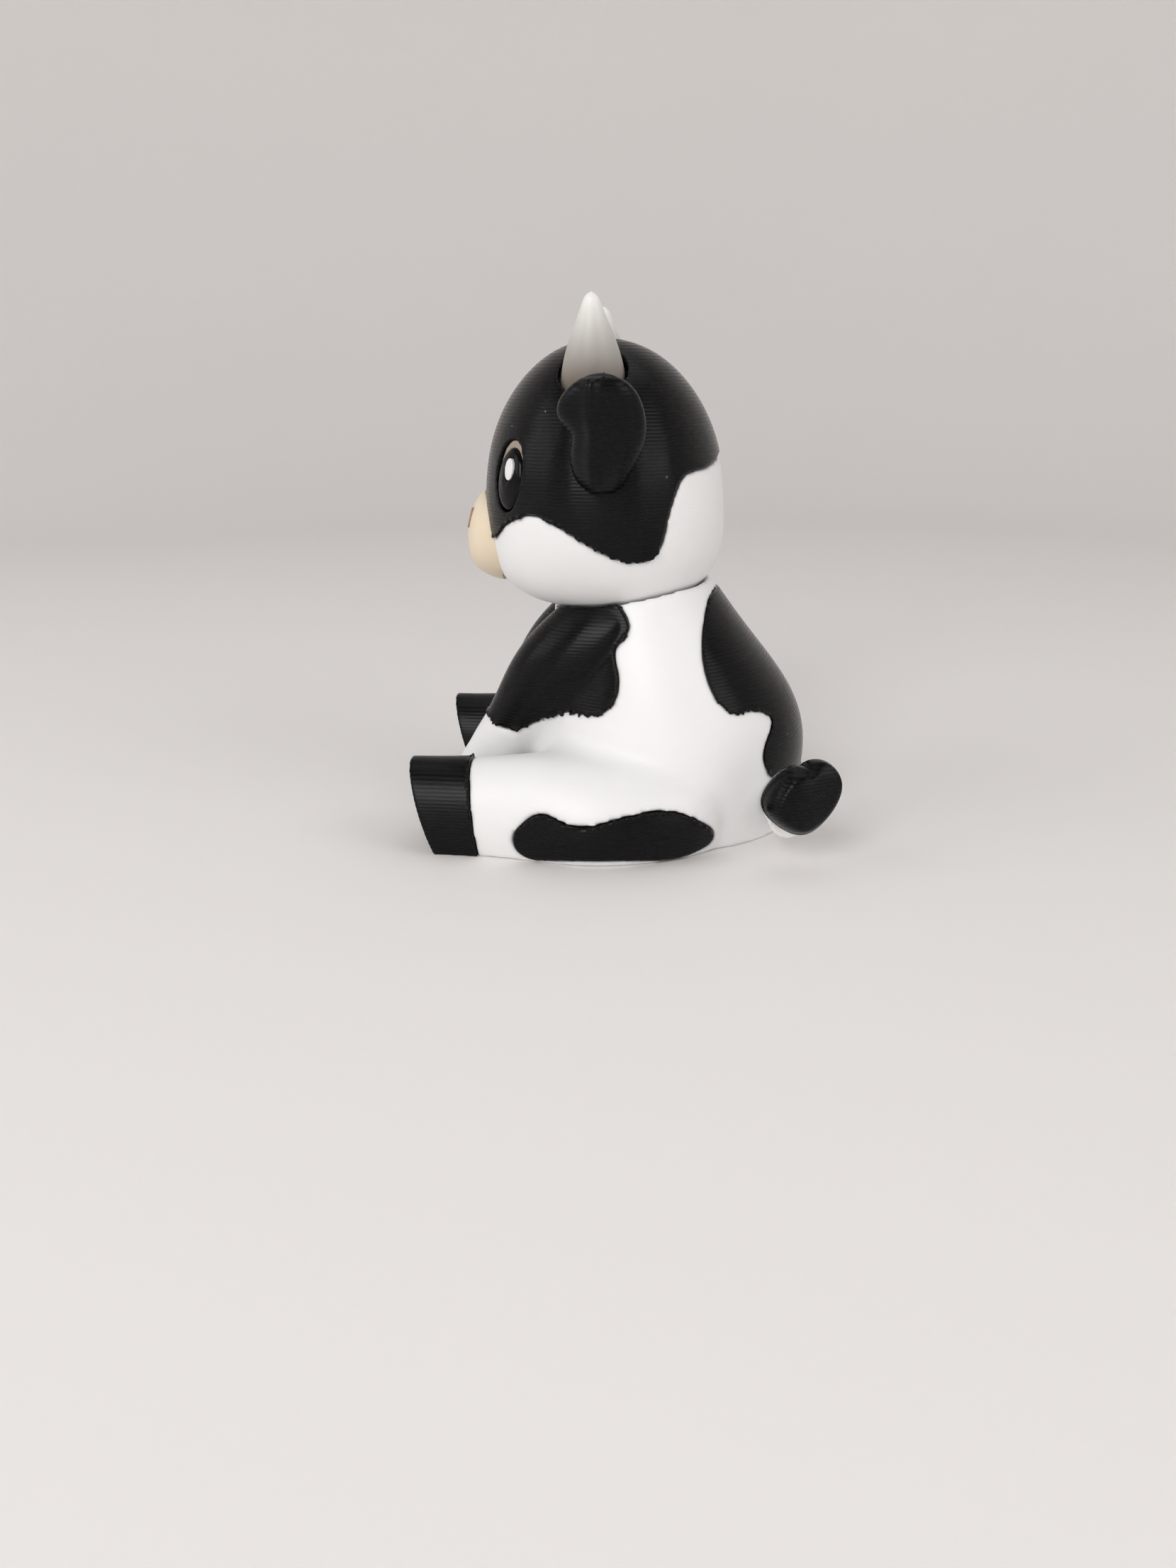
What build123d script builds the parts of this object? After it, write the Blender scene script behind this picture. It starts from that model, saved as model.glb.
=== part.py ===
from build123d import *
import os
from math import cos, radians, sin, sqrt

os.makedirs("parts", exist_ok=True)

# Seated cow figurine in printed pieces, in millimetres. The cow faces -Y, its left side is +X, and the
# origin is on the floor under the axis that the head turns about.

# Fits and inlays
FIT = 0.10  # gap round a piece in its pocket
TURN_GAP = 0.30  # gap between the head and the seat that it turns over
PROUD = 0.25  # how far a black piece stands above the white
INLAY_DEPTH = 1.8  # how deep an inlay goes below the white

# Torso, a pear that leans forward towards the neck
TORSO_LENGTH = 41.6
TORSO_WIDTH = 43.4
TORSO_SET_BACK = 9.1  # its fullest section, behind the neck axis
NECK_HEIGHT = 38.0  # top of the neck cone, before the head's seat is hollowed in it
# Shares of the neck height, length, width and set-back, from the floor up
TORSO_STATIONS = (
    (0.00, 0.985, 0.985, 0.98),
    (0.21, 1.00, 1.00, 1.00),
    (0.42, 0.97, 0.93, 0.99),
    (0.63, 0.80, 0.805, 0.86),
    (0.815, 0.64, 0.665, 0.62),
    (1.00, 0.48, 0.50, 0.38),
)

# Head, an egg with a full jaw
HEAD_LENGTH = 34.4
HEAD_WIDTH = 39.0
HEAD_BOTTOM = 31.2
HEAD_BELOW = 14.8  # from the widest section down to the chin
HEAD_ABOVE = 22.7  # from the widest section up to the crown
JAW_FULLNESS = 3.6  # exponent of the lower half, higher is squarer
CROWN_FULLNESS = 2.1
CROWN_LEAN = 0.35  # how far the crown leans forward
SEAT_DEPTH = 5.5  # round part of the head that sits in the neck
SPIGOT_D = 11.0
SPIGOT_LENGTH = 9.0
SPIGOT_RUNNING_GAP = 0.08

# Hind legs
HIND_HEIGHT = 13.6
HIND_AXIS_Z = 4.4  # height of the widest line of the leg
HIND_REACH = 27.2  # foremost point of the hoof, ahead of the neck axis
HIND_BLEND = 3.0  # fillet where the leg leaves the torso
# Place along the leg as a share of the reach, distance of its axis from the middle, half width, and
# share of the height above the axis
HIND_STATIONS = (
    (-1.36, 18.2, 5.9, 0.87),
    (-1.13, 18.2, 5.9, 0.87),
    (-0.90, 18.2, 6.1, 0.88),
    (-0.65, 18.3, 6.5, 0.90),
    (-0.36, 18.6, 7.8, 0.98),
    (-0.07, 18.0, 10.2, 1.00),
    (0.22, 16.9, 10.4, 0.96),
    (0.44, 14.8, 10.0, 0.92),
    (0.62, 12.2, 8.6, 0.85),
    (0.80, 9.0, 5.5, 0.70),
)
HIND_HOOF = 8.8  # length of the hoof along its top
HIND_HOOF_X = 18.2
ANKLE_LEAN = 6.0  # degrees that the ankle leans forward at the top
SOLE_LEAN = 16.0

# Front legs
FRONT_HEIGHT = 35.0
FRONT_REACH = 25.6  # foremost point of the hoof, ahead of the neck axis
FRONT_BLEND = 1.5
# Share of the height, distance of the axis from the middle, half width, share of the reach, half depth
FRONT_STATIONS = (
    (0.00, 6.2, 4.2, 1.00, 4.8),
    (0.14, 6.2, 4.2, 0.945, 5.0),
    (0.286, 6.3, 4.3, 0.845, 5.2),
    (0.486, 7.2, 5.1, 0.67, 6.6),
    (0.686, 8.6, 6.2, 0.53, 9.2),
    (0.886, 8.4, 5.8, 0.31, 9.4),
    (1.00, 7.0, 4.0, 0.12, 7.0),
)
FRONT_HOOF = 5.6  # height of the hoof
FRONT_HOOF_X = 6.2
FRONT_HOOF_Y = -19.4
HOOF_PEG_D = 4.0
HOOF_PEG_LENGTH = 3.0

# Black patches of the torso, drawn in the side view as distance back and height, counter-clockwise
SHOULDER_INNER = 5.0  # how near the middle the patch comes round the front of the leg
SHOULDER_PATCH = (
    (3.9, 31.2), (1.5, 34.4), (-6.0, 36.0), (-14.0, 32.0), (-19.0, 24.0), (-17.5, 17.0),
    (-13.0, 15.2), (-9.0, 16.8), (-4.5, 18.5), (0.6, 19.4), (2.6, 23.6), (2.2, 28.2),
)
THIGH_INNER = 16.0
THIGH_PATCH = (
    (-11.4, 2.3), (-10.4, 1.0), (-6.0, 0.7), (6.0, 0.8), (14.4, 1.0), (16.2, 2.2), (14.2, 5.2),
    (9.2, 7.5), (4.6, 7.3), (0.6, 6.4), (-2.8, 6.0), (-5.0, 6.6), (-7.5, 7.2), (-10.2, 5.6),
)
BACK_PATCH = (
    (15.2, 33.4), (14.3, 28.5), (15.0, 23.8), (18.6, 19.3), (22.3, 18.9), (24.4, 17.4),
    (23.3, 13.2), (25.6, 8.6), (32.0, 7.6), (36.0, 20.0), (29.0, 32.0), (20.0, 33.6),
)

# Head cap, a hood over the crown and cheeks. Its edge is drawn in the side view as distance back and
# height above the widest section of the head.
CAP_THICKNESS = 2.0
CAP_EDGE = (
    (-14.7, -3.2), (-12.0, -0.6), (-9.0, 0.3), (-4.4, -1.5), (-0.6, -3.8), (3.1, -5.5), (6.2, -5.7),
    (7.9, -4.4), (8.9, -1.2), (10.0, 2.8), (11.6, 5.4), (14.0, 5.9), (16.2, 7.4), (17.6, 10.0), (21.0, 15.0),
)

# Muzzle, placed from the widest section of the head
MUZZLE_WIDTH = 21.4
MUZZLE_HEIGHT = 13.8
MUZZLE_DROP = 3.9
MUZZLE_STANDS = 3.2  # how far it stands ahead of the head
MUZZLE_DEPTH = 7.6
MUZZLE_FULLNESS = 3.6
MUZZLE_TILT = 7.0  # degrees that its face looks up
MUZZLE_PEG_D = 5.0
NOSTRIL_SPACING = 8.6
NOSTRIL_WIDTH = 2.4
NOSTRIL_HEIGHT = 3.0
NOSTRIL_RISE = 2.6  # above the middle of the muzzle
NOSTRIL_DEPTH = 1.4
NOSTRIL_STANDS = 0.12

# Eyes
EYE_RISE = 5.2  # above the widest section of the head
EYE_ANGLE = 46.0  # degrees round from the front
EYE_WIDTH = 6.2
EYE_HEIGHT = 9.4
EYE_DEPTH = 3.0
EYE_SUNK = 0.5
PUPIL_WIDTH = 5.8
PUPIL_HEIGHT = 8.2
PUPIL_DROP = 0.5
PUPIL_DEPTH = 1.4
PUPIL_DOME = 0.9
GLINT_WIDTH = 1.9
GLINT_HEIGHT = 2.9
GLINT_RISE = 1.3
GLINT_BACK = 0.5
GLINT_DEPTH = 0.6

# Horns
HORN_D = 8.6
HORN_RISE = 28.0  # tip above the widest section of the head
HORN_SPREAD = 20.4  # between the axes at the crown
HORN_TIP_SPREAD = 26.8
HORN_Y = -1.0
HORN_SEAT = 3.6  # base of the horn below the crown, on the axis
HORN_PEG_D = 5.0
HORN_PEG_LENGTH = 5.0
HORN_RING = 0.35  # open ring round the horn in the cap
# Share of the radius and of the length, from the base to the tip
HORN_PROFILE = ((1.00, 0.00), (0.95, 0.25), (0.63, 0.60), (0.31, 0.87), (0.18, 0.96), (0.00, 1.00))

# Ears
EAR_LENGTH = 16.0
EAR_WIDTH = 12.0
EAR_THICKNESS = 5.4
EAR_LEAN = 29.0  # degrees out from upright
EAR_RISE = 3.6  # foot of the ear above the widest section of the head
EAR_Y = 0.6
EAR_FOOT = 1.4  # how far the foot is sunk in the surface before it is trimmed to it
EAR_HOLLOW = 0.76  # share of the ear's width and thickness that its cup takes
EAR_TENON_D = 3.6
EAR_TENON_LENGTH = 5.0
EAR_TENON_RISE = 2.2  # above the foot of the ear
# Share of the length, shift backwards, half width and half thickness as shares of theirs
EAR_STATIONS = (
    (0.00, 0.00, 0.16, 0.22),
    (0.12, 0.00, 0.29, 0.40),
    (0.30, 0.03, 0.37, 0.48),
    (0.50, 0.04, 0.44, 0.50),
    (0.68, 0.01, 0.46, 0.47),
    (0.84, 0.01, 0.39, 0.40),
    (0.95, 0.02, 0.25, 0.28),
    (1.00, 0.03, 0.10, 0.14),
)

# Tail, which lies round to the cow's left, and its tuft
TAIL_D = 6.0
TAIL_Z = 6.2
TAIL_ROOT_X = 8.0
TAIL_ROOT_Y = 25.2
TAIL_TENON_D = 4.6
TAIL_TENON_LENGTH = 5.0
TUFT_CENTRE = (26.0, 27.4, 10.0)
TUFT_TURN = 18.0  # degrees that the tuft faces backwards
TUFT_WIDTH = 11.2
TUFT_HEIGHT = 11.2
TUFT_THICKNESS = 5.8
TUFT_ROUNDING = 0.35  # share that the outline shrinks by towards the two faces
TUFT_PEG_D = 2.8
TUFT_PEG_LENGTH = 3.0
# Heart outline from notch to notch, as shares of the width and height
TUFT_OUTLINE = (
    (0.04, 0.39), (0.26, 0.46), (0.48, 0.24), (0.45, -0.03), (0.27, -0.30), (0.04, -0.46),
    (-0.24, -0.365), (-0.48, -0.03), (-0.385, 0.20), (-0.12, 0.40), (0.04, 0.39),
)

FLOOR_SPAN = 200.0
ABOVE_FLOOR = Pos(0, 0, FLOOR_SPAN / 2) * Box(FLOOR_SPAN, FLOOR_SPAN, FLOOR_SPAN)
HEAD_MID = HEAD_BOTTOM + HEAD_BELOW


def right_hand(part):
    """The same piece for the cow's right side."""
    return mirror(part, about=Plane.YZ)


def ellipse_at(x, y, z, half_x, half_y):
    """Level ellipse for a loft."""
    return Plane.XY.offset(z) * Pos(x, y) * Ellipse(half_x, half_y)


def torso_form(grow=0.0):
    """Pear of level ellipses."""
    rings = []
    for height, length, width, back in TORSO_STATIONS:
        half_width = TORSO_WIDTH * width / 2 + grow
        half_length = TORSO_LENGTH * length / 2 + grow
        rings.append(ellipse_at(0, TORSO_SET_BACK * back, NECK_HEIGHT * height, half_width, half_length))
    return loft(rings)


def head_form(grow=0.0, swept=False):
    """Egg of level ellipses, round about the neck axis where it sits, or the room it sweeps as it turns."""
    seat_top = HEAD_BOTTOM + SEAT_DEPTH
    rings = []
    for angle in (-80, -62, -45, -25, 0, 22, 42, 58, 71, 83):
        t = sin(radians(angle))
        fullness, reach = (JAW_FULLNESS, HEAD_BELOW) if t < 0 else (CROWN_FULLNESS, HEAD_ABOVE)
        share = sqrt(1 - abs(t) ** fullness)
        z = HEAD_MID + t * reach
        widening = min(max((z - seat_top) / (HEAD_MID - seat_top), 0), 1)
        half_length = HEAD_LENGTH / 2 * share
        half_width = half_length * (1 + (HEAD_WIDTH / HEAD_LENGTH - 1) * widening)
        if swept:
            half_length = half_width
        lean = -CROWN_LEAN * max(t, 0)
        rings.append(ellipse_at(0, lean, z + t * grow, half_width + grow, half_length + grow))
    return loft(rings)


def hind_leg_form(grow=0.0):
    """Left hind leg, from its foot to the rump, cut off at the floor."""
    rings = []
    for place, x, half_width, rise in HIND_STATIONS:
        half_height = (HIND_HEIGHT - HIND_AXIS_Z) * rise
        plane = Plane(origin=(x, HIND_REACH * place, HIND_AXIS_Z), x_dir=(1, 0, 0), z_dir=(0, 1, 0))
        rings.append(plane * Ellipse(half_width + grow, half_height + grow))
    return loft(rings) & ABOVE_FLOOR


def front_leg_form(grow=0.0):
    """Left front leg, from the floor to the shoulder."""
    rings = []
    for share, x, half_width, front, half_depth in FRONT_STATIONS:
        y = half_depth - FRONT_REACH * front
        rings.append(ellipse_at(x, y, FRONT_HEIGHT * share, half_width + grow, half_depth + grow))
    return loft(rings)


def crease_edges(whole, pieces):
    """Edges that a union made where its pieces meet, above the floor."""
    old = [edge for piece in pieces for edge in piece.edges()]
    return [
        edge
        for edge in whole.edges()
        if (edge @ 0.5).Z > FIT and all(o.distance_to(edge @ 0.5) > FIT / 4 for o in old)
    ]


def blended(body, leg, radius):
    """Union of the body and a leg with a fillet along the crease."""
    whole = body + leg
    return fillet(crease_edges(whole, (body, leg)), radius)


def side_prism(outline, x_from, x_to):
    """Outline drawn in the side view, run through the figure from one distance to another."""
    return extrude(Plane.YZ.offset(x_from) * outline, x_to - x_from)


def beside(curve, gap, count):
    """Points along a curve, moved to its right-hand side."""
    points = []
    for i in range(count + 1):
        way = curve % (i / count)
        points.append(curve @ (i / count) + Vector(way.Y, -way.X) * gap)
    return points


def blob(points, gap=0.0):
    """Patch with a smooth closed edge in the side view, its edge moved outwards by a gap."""
    edge = Spline(*points, periodic=True)
    moved = beside(edge, gap, 3 * len(points))
    return make_face(Spline(*moved[:-1], periodic=True))


def inlay(form, outline, x_from, x_to, depth=INLAY_DEPTH):
    """An inlay that follows the form's surface, and the pocket that it drops into."""
    piece = (form(PROUD) - form(-depth)) & side_prism(outline(0.0), x_from, x_to)
    pocket = side_prism(outline(FIT), x_from - FIT, x_to + FIT) - form(-depth - FIT)
    return piece, pocket


def surface_point(form, origin, direction):
    """Where a line from inside a form leaves it, and the way out there."""
    hits = form.shell().find_intersection_points(Axis(origin, direction))
    return max(hits, key=lambda hit: (hit[0] - Vector(*origin)).dot(Vector(*direction)))


def beyond(plane):
    """Everything on the far side of a plane."""
    return plane * Pos(0, 0, FLOOR_SPAN / 2) * Box(FLOOR_SPAN, FLOOR_SPAN, FLOOR_SPAN)


def leaning_plane(y_at_top, lean):
    """Plane across a hind leg that faces forward, its lower end further back."""
    normal = (0, -cos(radians(lean)), -sin(radians(lean)))
    return Plane(origin=(0, y_at_top, HIND_HEIGHT), x_dir=(1, 0, 0), z_dir=normal)


def peg(plane, diameter, back, ahead):
    """Round peg along a plane's normal, from behind the plane to ahead of it."""
    rod = Cylinder(diameter / 2, back + ahead, align=(Align.CENTER, Align.CENTER, Align.MIN))
    return plane * Pos(0, 0, -back) * rod


def oval(plane, width, height, low, high):
    """Oval prism on a plane, between two heights above it."""
    return extrude(plane.offset(low) * Ellipse(width / 2, height / 2), high - low)


def dome(plane, width, height, rise, fullness=2.0):
    """Oval pebble that rises from a plane."""
    rings = []
    for angle in (0, 25, 45, 62, 78):
        t = sin(radians(angle))
        share = sqrt(1 - t**fullness)
        rings.append(plane.offset(rise * t) * Ellipse(width / 2 * share, height / 2 * share))
    return loft(rings)


def shoulder_form(grow=0.0):
    """Torso and left front leg with the crease between them blended."""
    return blended(torso_form(grow), front_leg_form(grow), FRONT_BLEND)


def thigh_form(grow=0.0):
    """Torso and left hind leg with the crease between them blended."""
    return blended(torso_form(grow), hind_leg_form(grow), HIND_BLEND)


def cap_outline(gap):
    """Cap in the side view: cheek and nape edge, and room above the crown."""
    edge = beside(Spline(*[(y, HEAD_MID + rise) for y, rise in CAP_EDGE]), gap, 3 * len(CAP_EDGE))
    front, back = edge[0], edge[-1]
    sky = HEAD_MID + 2 * HEAD_ABOVE
    room = Polyline(
        back, (HEAD_LENGTH, back.Y), (HEAD_LENGTH, sky), (-HEAD_LENGTH, sky), (-HEAD_LENGTH, front.Y), front
    )
    return make_face([Spline(*edge), *room.edges()])


def shoulder_outline(gap):
    """Shoulder patch in the side view."""
    return blob(SHOULDER_PATCH, gap)


def thigh_outline(gap):
    """Thigh patch in the side view."""
    return blob(THIGH_PATCH, gap)


def back_outline(gap):
    """Back patch in the side view."""
    return blob(BACK_PATCH, gap)


def ear_form(plane, scale=1.0):
    """Leaf of ovals along the plane's normal."""
    rings = []
    for share, back, width, thickness in EAR_STATIONS:
        section = Ellipse(EAR_WIDTH * width * scale, EAR_THICKNESS * thickness * scale)
        rings.append(plane.offset(EAR_LENGTH * share) * Pos(EAR_WIDTH * back, 0) * section)
    return loft(rings)


# Torso with its legs
hind_leg = hind_leg_form()
front_leg = front_leg_form()
torso = torso_form()
for leg in (hind_leg, right_hand(hind_leg)):
    torso = blended(torso, leg, HIND_BLEND)
for leg in (front_leg, right_hand(front_leg)):
    torso = blended(torso, leg, FRONT_BLEND)
torso = torso & ABOVE_FLOOR

# Seat and spigot of the neck
seat_room = head_form(TURN_GAP, swept=True)
seat_plane = Plane.XY.offset(HEAD_BOTTOM)
torso = torso - seat_room + peg(seat_plane, SPIGOT_D, SEAT_DEPTH, SPIGOT_LENGTH)

# Hind hooves, the ends of the legs between the ankle and the leaning sole
ankle = leaning_plane(HIND_HOOF - HIND_REACH, ANKLE_LEAN)
sole = leaning_plane(-HIND_REACH, SOLE_LEAN)
ankle_middle = Plane(ankle * Pos(HIND_HOOF_X, -HIND_HEIGHT / 2, 0))
hind_hoof = (hind_leg_form(PROUD) & beyond(ankle)) - beyond(sole)
hind_hoof = hind_hoof - peg(ankle_middle, HOOF_PEG_D + 2 * FIT, HOOF_PEG_D, HOOF_PEG_LENGTH + FIT)
hind_stump = hind_leg_form(2 * PROUD) & beyond(ankle.offset(-FIT))
hind_peg = peg(ankle_middle, HOOF_PEG_D, HOOF_PEG_D, HOOF_PEG_LENGTH)

# Front hooves, the feet of the front legs
fetlock = Plane(origin=(FRONT_HOOF_X, FRONT_HOOF_Y, FRONT_HOOF), x_dir=(1, 0, 0), z_dir=(0, 0, -1))
front_hoof = front_leg_form(PROUD) & beyond(fetlock)
front_hoof = front_hoof - peg(fetlock, HOOF_PEG_D + 2 * FIT, HOOF_PEG_D, HOOF_PEG_LENGTH + FIT)
front_stump = front_leg_form(2 * PROUD) & beyond(fetlock.offset(-FIT))
front_peg = peg(fetlock, HOOF_PEG_D, HOOF_PEG_D, HOOF_PEG_LENGTH)
for stump, rod in ((hind_stump, hind_peg), (front_stump, front_peg)):
    torso = torso - stump - right_hand(stump)
    torso = torso + rod + right_hand(rod)

# Tail and tuft
facing = Vector(cos(radians(TUFT_TURN)), sin(radians(TUFT_TURN)), 0)
tuft_plane = Plane(origin=TUFT_CENTRE, x_dir=(-facing.Y, facing.X, 0), z_dir=facing)
tuft_rings = []
for angle in (-75, -50, -20, 20, 50, 75):
    share = 1 - TUFT_ROUNDING * (1 - cos(radians(angle)))
    heart = Spline(*[(x * TUFT_WIDTH * share, y * TUFT_HEIGHT * share) for x, y in TUFT_OUTLINE])
    tuft_rings.append(tuft_plane.offset(TUFT_THICKNESS / 2 * sin(radians(angle))) * make_face(heart))
tuft = loft(tuft_rings)
tuft_back = tuft_plane.offset(-TUFT_THICKNESS / 2)
tail_root = Vector(TAIL_ROOT_X, TAIL_ROOT_Y, TAIL_Z)
tail_end = Vector(tuft_back.origin.X, tuft_back.origin.Y, TAIL_Z)
tail_axis = Plane(origin=tail_root, z_dir=tail_end - tail_root)
tail_length = (tail_end - tail_root).length
stem = peg(tail_axis, TAIL_D, 0, tail_length + TAIL_D) - beyond(tuft_back.offset(-FIT)) - torso_form(FIT)
tail = stem + peg(tail_axis, TAIL_TENON_D, TAIL_TENON_LENGTH, tail_length - TAIL_D)
tail = tail + peg(tail_axis, TUFT_PEG_D, 0, tail_length + TUFT_PEG_LENGTH)
tuft = tuft - peg(tail_axis, TUFT_PEG_D + 2 * FIT, 0, tail_length + TUFT_PEG_LENGTH + FIT)
torso = torso - peg(tail_axis, TAIL_TENON_D + 2 * FIT, TAIL_TENON_LENGTH + FIT, tail_length)

# Black patches of the torso
shoulder_patch, shoulder_pocket = inlay(shoulder_form, shoulder_outline, SHOULDER_INNER, TORSO_WIDTH)
shoulder_patch = shoulder_patch - seat_room
thigh_patch, thigh_pocket = inlay(thigh_form, thigh_outline, THIGH_INNER, TORSO_WIDTH)
back_patch, back_pocket = inlay(torso_form, back_outline, -TORSO_WIDTH, TORSO_WIDTH)
back_patch = back_patch - seat_room - peg(tail_axis, TAIL_D + 2 * FIT, TAIL_TENON_LENGTH, tail_length)
for pocket in (shoulder_pocket, thigh_pocket):
    torso = torso - pocket - right_hand(pocket)
torso = torso - back_pocket

# Head and cap
socket = peg(seat_plane, SPIGOT_D + 2 * SPIGOT_RUNNING_GAP, SEAT_DEPTH, SPIGOT_LENGTH + TURN_GAP)
cap, cap_pocket = inlay(head_form, cap_outline, -HEAD_WIDTH, HEAD_WIDTH, CAP_THICKNESS)
head = head_form() - socket - cap_pocket
cap_surface = head_form(PROUD)

# Muzzle and nostrils
muzzle_up = Vector(0, -cos(radians(MUZZLE_TILT)), sin(radians(MUZZLE_TILT)))
muzzle_y = MUZZLE_DEPTH - MUZZLE_STANDS - HEAD_LENGTH / 2
muzzle_plane = Plane(origin=(0, muzzle_y, HEAD_MID - MUZZLE_DROP), x_dir=(1, 0, 0), z_dir=muzzle_up)
muzzle_form = dome(muzzle_plane, MUZZLE_WIDTH, MUZZLE_HEIGHT, MUZZLE_DEPTH, MUZZLE_FULLNESS)
muzzle = muzzle_form - head_form(PROUD + FIT)
muzzle = muzzle + peg(muzzle_plane, MUZZLE_PEG_D, 0, MUZZLE_DEPTH - MUZZLE_STANDS / 2)
muzzle_hole = peg(muzzle_plane, MUZZLE_PEG_D + 2 * FIT, FIT, MUZZLE_DEPTH)
cap = cap - muzzle_hole
head = head - muzzle_hole
nostril_from = (NOSTRIL_SPACING / 2, muzzle_y, HEAD_MID - MUZZLE_DROP + NOSTRIL_RISE)
nostril_point, nostril_out = surface_point(muzzle_form, nostril_from, (0, -1, 0))
nostril_plane = Plane(origin=nostril_point, x_dir=Vector(0, 0, 1).cross(nostril_out), z_dir=nostril_out)
nostril = oval(nostril_plane, NOSTRIL_WIDTH, NOSTRIL_HEIGHT, -NOSTRIL_DEPTH, NOSTRIL_STANDS)
nostril_pocket = oval(
    nostril_plane, NOSTRIL_WIDTH + 2 * FIT, NOSTRIL_HEIGHT + 2 * FIT, -NOSTRIL_DEPTH - FIT, NOSTRIL_DEPTH
)
muzzle = muzzle - nostril_pocket - right_hand(nostril_pocket)

# Eyes
look = (sin(radians(EYE_ANGLE)), -cos(radians(EYE_ANGLE)), 0)
eye_point, eye_out = surface_point(head_form(), (0, 0, HEAD_MID + EYE_RISE), look)
eye_plane = Plane(origin=eye_point, x_dir=Vector(0, 0, 1).cross(eye_out), z_dir=eye_out)
pupil_plane = Plane(eye_plane.offset(-EYE_SUNK) * Pos(0, -PUPIL_DROP, 0))
glint_plane = Plane(pupil_plane.offset(PUPIL_DOME) * Pos(GLINT_BACK, GLINT_RISE, 0))
eye_pocket = oval(eye_plane, EYE_WIDTH + 2 * FIT, EYE_HEIGHT + 2 * FIT, -EYE_DEPTH - FIT, EYE_DEPTH)
eye_white = oval(eye_plane, EYE_WIDTH, EYE_HEIGHT, -EYE_DEPTH, -EYE_SUNK)
eye_white = eye_white - oval(
    pupil_plane, PUPIL_WIDTH + 2 * FIT, PUPIL_HEIGHT + 2 * FIT, -PUPIL_DEPTH - FIT, PUPIL_DOME
)
pupil = oval(pupil_plane, PUPIL_WIDTH, PUPIL_HEIGHT, -PUPIL_DEPTH, 0)
pupil = pupil + dome(pupil_plane, PUPIL_WIDTH, PUPIL_HEIGHT, PUPIL_DOME)
pupil = pupil - oval(
    glint_plane, GLINT_WIDTH + 2 * FIT, GLINT_HEIGHT + 2 * FIT, -GLINT_DEPTH - FIT, PUPIL_DOME
)
glint = oval(glint_plane, GLINT_WIDTH, GLINT_HEIGHT, -GLINT_DEPTH, 0)

# Horns
crown_point, crown_out = surface_point(head_form(), (HORN_SPREAD / 2, HORN_Y, HEAD_MID), (0, 0, 1))
horn_foot = crown_point - Vector(0, 0, HORN_SEAT)
horn_tip = Vector(HORN_TIP_SPREAD / 2, HORN_Y, HEAD_MID + HORN_RISE)
horn_plane = Plane(origin=horn_foot, x_dir=(0, 1, 0), z_dir=horn_tip - horn_foot)
horn_length = (horn_tip - horn_foot).length
horn_side = Spline(*[(HORN_D / 2 * r, 0, horn_length * share) for r, share in HORN_PROFILE])
horn_core = Polyline((0, 0, horn_length), (0, 0, 0), (HORN_D / 2, 0, 0))
horn = horn_plane * revolve(make_face([horn_side, *horn_core.edges()]), Axis.Z)
horn = horn + peg(horn_plane, HORN_PEG_D, HORN_PEG_LENGTH, HORN_SEAT)
horn_well = peg(horn_plane, HORN_D + 2 * HORN_RING, FIT, horn_length)
horn_hole = peg(horn_plane, HORN_PEG_D + 2 * FIT, HORN_PEG_LENGTH + FIT, 0)

# Ears
ear_point, ear_out = surface_point(cap_surface, (0, EAR_Y, HEAD_MID + EAR_RISE), (1, 0, 0))
ear_way = Vector(sin(radians(EAR_LEAN)), 0, cos(radians(EAR_LEAN)))
ear_plane = Plane(origin=ear_point - Vector(EAR_FOOT, 0, 0), x_dir=(0, 1, 0), z_dir=ear_way)
ear_hollow = ear_form(Plane(ear_plane * Pos(0, EAR_THICKNESS / 2, 0)), EAR_HOLLOW)
ear_body = ear_form(ear_plane) - ear_hollow - head_form(PROUD + FIT)
tenon_plane = Plane(origin=ear_point + Vector(0, 0, EAR_TENON_RISE), z_dir=(-1, 0, 0))
ear = ear_body + peg(tenon_plane, EAR_TENON_D, EAR_THICKNESS / 6, EAR_TENON_LENGTH)
ear_hole = peg(tenon_plane, EAR_TENON_D + 2 * FIT, EAR_THICKNESS, EAR_TENON_LENGTH + FIT)

for pocket in (eye_pocket, horn_well, horn_hole, ear_hole):
    head = head - pocket - right_hand(pocket)
    cap = cap - pocket - right_hand(pocket)

single = {
    "torso": torso, "head": head, "head_cap": cap, "muzzle": muzzle, "back_patch": back_patch,
    "tail": tail, "tail_tuft": tuft,
}
paired = {
    "hind_hoof": hind_hoof, "front_hoof": front_hoof, "shoulder_patch": shoulder_patch,
    "thigh_patch": thigh_patch, "nostril": nostril, "eye_white": eye_white, "pupil": pupil,
    "eye_glint": glint, "horn": horn, "ear": ear,
}
for name, piece in single.items():
    export_step(piece, f"parts/{name}.step")
for name, piece in paired.items():
    export_step(piece, f"parts/{name}_left.step")
    export_step(right_hand(piece), f"parts/{name}_right.step")
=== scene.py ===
# %% [markdown]
# A seated toy cow, printed in plastic filament
#
# The real figure is a handful of separate prints. White filament makes the body, the head and the tail,
# black filament makes the cap, the ears, the hooves and the coat patches, and a few small pieces are
# peach, brown or undyed. Each piece here starts as the solid that the CAD source gives, and this lesson
# turns it into something that looks printed: even skin, soft edges, fine layers and rough undersides.

# %% Load the solids
from typing import NamedTuple

import bmesh
import bpy
import numpy as np
from mathutils import Matrix, Vector
from mathutils.bvhtree import BVHTree


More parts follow.
